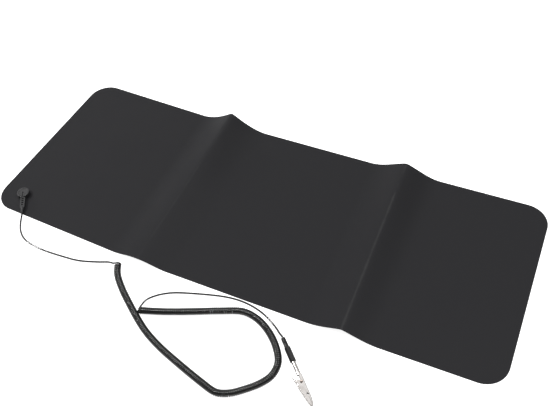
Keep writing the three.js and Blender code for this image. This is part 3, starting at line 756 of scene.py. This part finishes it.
def makeSocket(s):
    low, high = snapSettings["onMat"] + s["socketLow"], snapSettings["onMat"] + s["socketHigh"]
    inner, outer = s["socketInner"], s["socketOuter"]
    profile = filletCorners([(inner, low, 0.4), (outer, low, 0.3), (outer, high, 0.3), (inner, high, 0.3)])
    addPiece("snapSocket", lathe(profile, closed=True), studMatrix, "mat_and_cord", nickel,
             ["snap_socket"])


def makeHousing(s):
    # round head with a dished top, flat slotted tail and a necked sleeve round the cord
    onMat, radius = s["onMat"], s["headDiameter"] / 2
    headTop, tailTop = onMat + s["headHeight"], onMat + s["tailHeight"]
    head = lathe(filletCorners([
        (0, onMat), (radius - 0.4, onMat), (radius, onMat + 0.4, 0.3), (radius, headTop, 1.1),
        (radius - s["rim"], headTop, 0.4), (radius - s["rim"] - s["dish"], headTop - s["dish"], 0.4),
        (0, headTop - s["dish"]),
    ], 6), 72)
    half, reach, end = s["tailWidth"] / 2, s["tailReach"], s["sleeveEnd"]
    tail = prism(filletCorners([(0, -half), (reach, 0.5 - half, 1.6), (reach, half - 0.5, 1.6), (0, half)], 6),
                 onMat, tailTop)
    start, wide, neck = s["sleeveStart"], s["sleeveRadius"], s["neckRadius"]
    sleeve = lathe(filletCorners([
        (0, reach - 4.4), (start, reach - 4.4), (start, reach + 1, 1), (wide, end - 3.4, 0.3),
        (neck, end - 3.2, 0.2), (neck, end - 2.1, 0.2), (wide, end - 1.8, 0.3), (wide - 0.1, end, 0.5), (0, end),
    ]), 40, "X")
    sleeve.transform(Matrix.Translation((0, 0, s["exitHeight"])))
    mesh = combine(head, [tail, sleeve], "UNION")
    roomTop, (knob, knobTop) = onMat + s["roomHeight"], s["knobRoom"]
    room = lathe([(0, 0), (s["roomRadius"], 0), (s["roomRadius"], roomTop), (knob, roomTop),
                  (knob, onMat + knobTop), (0, onMat + knobTop)])
    firstSlot = radius + s["firstSlot"]
    side = s["grooveWidth"] / 2
    groove = prism(filletCorners([(-side, -side, 0.7), (firstSlot, -side), (firstSlot, side), (-side, side, 0.7)]),
                   headTop - s["dish"] - s["grooveDepth"], headTop + 2)
    cuts = [room, groove]
    for i in range(s["slotCount"]):
        start = firstSlot + i * s["slotPitch"]
        wide = s["slotWidth"] / 2
        outline = [(start, -wide, 0.3), (start + s["slotLength"], -wide, 0.3),
                   (start + s["slotLength"], wide, 0.3), (start, wide, 0.3)]
        cuts.append(prism(filletCorners(outline), tailTop - s["slotDepth"], headTop))
    addPiece("snapHousing", combine(mesh, cuts), snapMatrix, "mat_and_cord", snapPlastic,
             ["snap_housing"], edge=0.18, sharp=35)


makeStud(studSettings)
makeSocket(studSettings)
makeHousing(snapSettings)

print("stage: plug")

clipOrigin = clipPoint(0) + routeShift
clipMatrix = Matrix.Translation(clipOrigin) @ Matrix.Rotation(math.radians(clipSettings["angle"]), 4, "Z")
plugSettings = {
    "diameter": 7.0, "length": 19.4, "sides": 8,
    "reliefDiameter": 5.2, "reliefLength": 11.6, "slotCount": 4, "slotWidth": 1.0, "core": 1.3,
    "pinDiameter": 3.3, "pinLength": 14.0, "pinSeat": 4.0, "pinHole": 1.95,
}


def makePlug(p):
    # faceted body with a slotted strain relief behind it, and the pin inside the clip's barrel
    radius, reliefRadius = p["diameter"] / 2, p["reliefDiameter"] / 2
    body = lathe(filletCorners([
        (0, -p["length"]), (radius - 1, -p["length"]), (radius, 1.4 - p["length"]),
        (radius, -seatGap - 0.3), (radius - 0.3, -seatGap), (0, -seatGap),
    ]), p["sides"], "X")
    back = -p["length"] - p["reliefLength"]
    relief = lathe(filletCorners([
        (0, back), (reliefRadius - 0.2, back, 0.3), (reliefRadius, 1 - p["length"]), (0, 1 - p["length"]),
    ]), 40, "X")
    mesh = combine(body, [relief], "UNION")
    cuts = []
    clear = p["diameter"] - 2  # well outside the strain relief
    for i in range(1, p["slotCount"] + 1):
        middle = back + i * p["reliefLength"] / (p["slotCount"] + 1)
        x = (middle - p["slotWidth"] / 2, middle + p["slotWidth"] / 2)
        for z in ((p["core"], clear), (-clear, -p["core"])):
            cuts.append(slab(x, (-clear, clear), z))
    pinHole = lathe([(0, -p["pinSeat"]), (p["pinHole"], -p["pinSeat"]), (p["pinHole"], 2), (0, 2)], 32, "X")
    addPiece("plugBody", combine(mesh, cuts + [pinHole]), clipMatrix, "mat_and_cord", plugPlastic,
             ["plug_body"], edge=0.22, sharp=30)
    pinRadius = p["pinDiameter"] / 2
    pin = lathe(filletCorners([
        (0, seatGap - p["pinSeat"]), (pinRadius, seatGap - p["pinSeat"]), (pinRadius, 1.2, 0.2),
        (pinRadius - 0.3, 1.8, 0.3), (pinRadius, 6, 2), (pinRadius - 0.2, p["pinLength"] - 2, 1),
        (pinRadius - 0.7, p["pinLength"], 0.4), (0, p["pinLength"]),
    ]), 40, "X")
    addPiece("plugPin", pin, clipMatrix, "mat_and_cord", nickel, ["plug_pin"])


makePlug(plugSettings)

print("stage: clip")

jawSettings = {
    "length": 53.0, "sheet": 0.5, "tipWidth": 3.2, "fixedWidth": 4.6, "bend": 0.9,
    "firstTooth": 51.4, "toothPitch": 1.5, "toothDepth": 0.5, "toothCount": 6,
    "barrelLength": 16.0, "barrelOuter": 2.4, "barrelInner": 1.95, "slitWidth": 0.6, "slitLength": 10.0,
}


def blendLine(points, x):
    # height at x of a line through (x, height) points
    return float(np.interp(x, [p[0] for p in points], [p[1] for p in points]))


def toothAt(x, j):
    # how far the mouth's edge is cut back or stands out at x
    fromFirst = (j["firstTooth"] - x) / j["toothPitch"]
    if fromFirst < 0 or fromFirst > j["toothCount"]:
        return 0.0
    return j["toothDepth"] * (1 - abs(2 * (fromFirst % 1) - 1))


def channel(stations, back, mouth, halfWidth, bend, wallSteps=5, bendSteps=5, backSteps=6):
    # open U section along X: two walls from the mouth line to the back, with rounded bends
    vertices, faces = [], []
    for x in stations:
        b, m, w = back(x), mouth(x), halfWidth(x)
        s = 1 if b > m else -1
        r = min(bend, abs(b - m) * 0.6, w * 0.8)
        wall = [(m + (b - s * r - m) * k / wallSteps, w) for k in range(wallSteps)]
        corner = [(b - s * r + s * r * math.sin(a), w - r + r * math.cos(a))
                  for a in np.linspace(0, math.pi / 2, bendSteps)]
        flat = [(b, (w - r) * (1 - 2 * k / backSteps)) for k in range(1, backSteps)]
        half = wall + corner
        section = half + flat + [(y, -z) for y, z in reversed(half)]
        vertices += [(x, y, z) for y, z in section]
    ring = len(vertices) // len(stations)
    for i in range(len(stations) - 1):
        for k in range(ring - 1):
            a = i * ring + k
            faces.append((a, a + 1, a + ring + 1, a + ring))
    return meshFrom(vertices, faces)


def thicken(mesh, thickness):
    # sheet metal of that thickness behind the outer surface
    work = bmesh.new()
    work.from_mesh(mesh)
    bmesh.ops.recalc_face_normals(work, faces=work.faces)
    work.to_mesh(mesh)
    work.free()
    outward = sum(p.normal.z * p.center.z * p.area for p in mesh.polygons)
    if outward < 0:
        mesh.flip_normals()
    holder = holderOf(mesh)
    solid = holder.modifiers.new("sheet", "SOLIDIFY")
    solid.thickness, solid.offset, solid.use_even_offset = thickness, -1, False
    return bake(holder)


def stationsAlong(low, high, j, step=0.5):
    toothStep = j["toothPitch"] / 4
    mouthStart = j["firstTooth"] - j["toothCount"] * j["toothPitch"]
    plain = [x for x in np.arange(low, high, step) if x < mouthStart - 0.1 or x > j["firstTooth"] + 0.1]
    toothed = [mouthStart + k * toothStep for k in range(4 * j["toothCount"] + 1)]
    return sorted(plain + toothed + [high])


def makeFixedJaw(j):
    # the lines give the back, the mouth's edge with the ear round the rivet, and the half width, along the clip
    length, rivet = j["length"], clipSettings["rivet"]
    backLine = [(15, 2.3), (17, 2.8), (43, 2.8), (50, 1.9), (52.2, 1.35), (length, 0.75)]
    earLine = [(15, -0.4), (21.8, -0.6), (23.2, -2.2), (24.2, -2.75), (26.6, -2.75), (27.6, -2.2), (28.8, -0.6),
               (38.6, 0.15), (39.1, 0.7), (39.5, 1.3), (40.6, 1.3), (41.2, 0.5), (41.5, 0.15), (length, 0.15)]
    halfLine = [(15, 2.3), (rivet[0], j["fixedWidth"] / 2), (length, j["tipWidth"] / 2)]
    shell = channel(stationsAlong(15.2, length, j), lambda x: blendLine(backLine, x),
                    lambda x: blendLine(earLine, x) + toothAt(x, j), lambda x: blendLine(halfLine, x), j["bend"])
    inner, outer, end = j["barrelInner"], j["barrelOuter"], j["barrelLength"]
    barrel = filletCorners([(inner, 0), (outer + 0.1, 0, 0.2), (outer, 1.2, 1), (outer, end), (inner, end)])
    tube = lathe(barrel, 48, "X", closed=True)
    slit = slab((-1, j["slitLength"]), (-j["slitWidth"] / 2, j["slitWidth"] / 2), (0, 4))
    tube = combine(tube, [slit])
    mesh = combine(thicken(shell, j["sheet"]), [tube], "UNION")
    addPiece("clipFixedJaw", mesh, clipMatrix, "mat_and_cord", clipPlate, ["clip_fixed_jaw"],
             edge=0.08, sharp=45)


def makeMovingJaw(j):
    # the back starts at the thumb lever, and the wire hole is between 38.6 and 41.5
    length = j["length"]
    backLine = [(16.6, -8.1), (17.4, -8.1), (19, -7.7), (23.5, -6.6), (25, -6.35), (28.4, -6.6),
                (39, -5.0), (52, -2.6), (52.7, -2.0), (length, -1.2)]
    mouthLine = [(16.6, -7.3), (17.4, -7.2), (19, -6.8), (22.6, -5.8), (23, -2.2), (23.3, 0), (24.4, 1.2),
                 (27.4, 1.2), (38.6, -0.15), (39.1, -0.6), (39.5, -1), (40.6, -1), (41.2, -0.5), (41.5, -0.15),
                 (length, -0.15)]
    halfLine = [(16.6, 2.0), (17.0, 2.6), (17.8, 3.0), (19, 3.1), (25, 3.1), (29, 2.95), (33, 2.7),
                (length, j["tipWidth"] / 2)]
    shell = channel(stationsAlong(16.6, length, j), lambda x: blendLine(backLine, x),
                    lambda x: blendLine(mouthLine, x) + toothAt(x, j), lambda x: blendLine(halfLine, x), j["bend"])
    addPiece("clipSprungJaw", thicken(shell, j["sheet"]), clipMatrix, "sprung_jaw", clipPlate,
             ["clip_moving_jaw"], edge=0.08, sharp=45)


rivetSettings = {"shank": 1.0, "headRadius": 1.7, "headStart": 3.4, "headHeight": 0.6}


def makeRivet(s):
    # the same rolled head at both ends
    along, across = clipSettings["rivet"]
    low, radius = s["headStart"], s["headRadius"]
    upper = filletCorners([(s["shank"], low), (radius, low), (radius, low + 0.3, 0.2),
                           (radius - 0.5, low + s["headHeight"], 0.3), (0.6, low + 0.35, 0.2), (0, low + 0.25)])
    profile = [(r, -h) for r, h in reversed(upper)] + upper
    matrix = clipMatrix @ Matrix.Translation((along, across, 0))
    addPiece("clipRivet", lathe(profile, 40), matrix, "mat_and_cord", rivetMetal, ["clip_rivet"])


springSettings = {"wire": 0.6, "inner": 1.3, "halfLength": 1.5, "turns": 4.25, "stepsPerTurn": 24}


def makeSpring(s):
    # measured from the rivet; one leg stays with the turns, the other leg goes with the sprung jaw
    rivetPlace = clipMatrix @ Matrix.Translation((*clipSettings["rivet"], 0))
    radius, top = s["inner"] + s["wire"] / 2, s["halfLength"] - s["wire"] / 2
    count = int(s["turns"] * s["stepsPerTurn"])
    line = []
    for k in range(count + 1):
        angle = -2 * math.pi * k / s["stepsPerTurn"]
        line.append(Vector((radius * math.cos(angle), radius * math.sin(angle), top * (1 - 2 * k / count))))
    line += [line[-1] + Vector((-1.4, 0.3, 0)), line[-1] + Vector((-3.2, 1.6, 0))]
    line = [rivetPlace @ place for place in line]
    spring = addWire("clipSpring", line, s["wire"], springSteel, "mat_and_cord")
    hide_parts("clip_spring")
    leg = [Vector((0.3, radius, top)), Vector((-0.9, radius * 0.75, top + 0.1)), Vector((-1.7, 0, top + 0.4)),
           Vector((-3.2, -2.6, top + 0.8)), Vector((-4.9, -5.0, top + 0.8))]
    leg = [rivetPlace @ place for place in leg]
    addWire("clipSpringLeg", leg, s["wire"], springSteel, "sprung_jaw")


makeFixedJaw(jawSettings)
makeMovingJaw(jawSettings)
makeRivet(rivetSettings)
makeSpring(springSettings)

print("stage: floor and light")

studioSettings = {
    "skyTowards": (-0.70, 0.30, 0.65),  # where the sky is brightest
    "sky": [(0.0, 0.05), (0.45, 0.12), (0.75, 0.34), (1.0, 0.55)],
    "floor": 0.75, "floorReach": 12.0, "floorDrop": 0.05,  # reach in metres, drop under the model in mm
    "floorGlow": 0.9,  # for the view alone, so that shadows on the floor wash out
    "lights": {  # far soft lights: where each stands, how wide it looks in degrees, how strong
        "key": {"towards": (-0.63, -0.14, 0.76), "wide": 9, "strength": 1.4},
        "fill": {"towards": (0.36, 0.04, 0.93), "wide": 24, "strength": 1.7},
        "back": {"towards": (-0.30, 0.54, 0.79), "wide": 56, "strength": 0.3},
        "side": {"towards": (-0.80, 0.53, 0.17), "wide": 12, "strength": 0.13},
    },
}


def makeLight(name, settings):
    data = bpy.data.lights.new(name, "SUN")
    data.energy, data.angle = settings["strength"], math.radians(settings["wide"])
    light = bpy.data.objects.new(name, data)
    bpy.context.scene.collection.objects.link(light)
    light.rotation_euler = Vector(settings["towards"]).to_track_quat("Z", "Y").to_euler()


def makeStudio(s):
    world = bpy.data.worlds.new("studio")
    bpy.context.scene.world = world
    world.use_nodes = True
    tree = world.node_tree
    sky = tree.nodes["Background"]
    where = addNode(tree, "TexCoord").outputs["Generated"]
    towards = tuple(Vector(s["skyTowards"]).normalized())
    facing = addNode(tree, "VectorMath", {0: where, 1: towards}, operation="DOT_PRODUCT").outputs["Value"]
    share = mathNode(tree, "MULTIPLY", mathNode(tree, "ADD", facing, 1.0), 0.5)
    tree.links.new(rampNode(tree, share, [(place, (grey,) * 3) for place, grey in s["sky"]]), sky.inputs["Color"])
    for name, settings in s["lights"].items():
        makeLight(name, settings)
    reach = s["floorReach"]
    floor = bpy.data.objects.new("floor", meshFrom(
        [(-reach, -reach, 0), (reach, -reach, 0), (reach, reach, 0), (-reach, reach, 0)], [(0, 1, 2, 3)]))
    bpy.context.scene.collection.objects.link(floor)
    floor.location.z = -s["floorDrop"] * mm
    material, tree, shader = blankMaterial("pale floor", Roughness=0.9, Specular_IOR_Level=0.1)
    shader.inputs["Base Color"].default_value = (s["floor"], s["floor"], s["floor"], 1)
    shader.inputs["Emission Color"].default_value = (1, 1, 1, 1)
    seen = addNode(tree, "LightPath").outputs["Is Camera Ray"]
    tree.links.new(mathNode(tree, "MULTIPLY", seen, s["floorGlow"]), shader.inputs["Emission Strength"])
    floor.data.materials.append(material)
    bpy.context.scene.view_settings.view_transform = "Standard"


makeStudio(studioSettings)

print("stage: soft pieces")

exitPlace = (sleeveExit() + routeShift) * mm
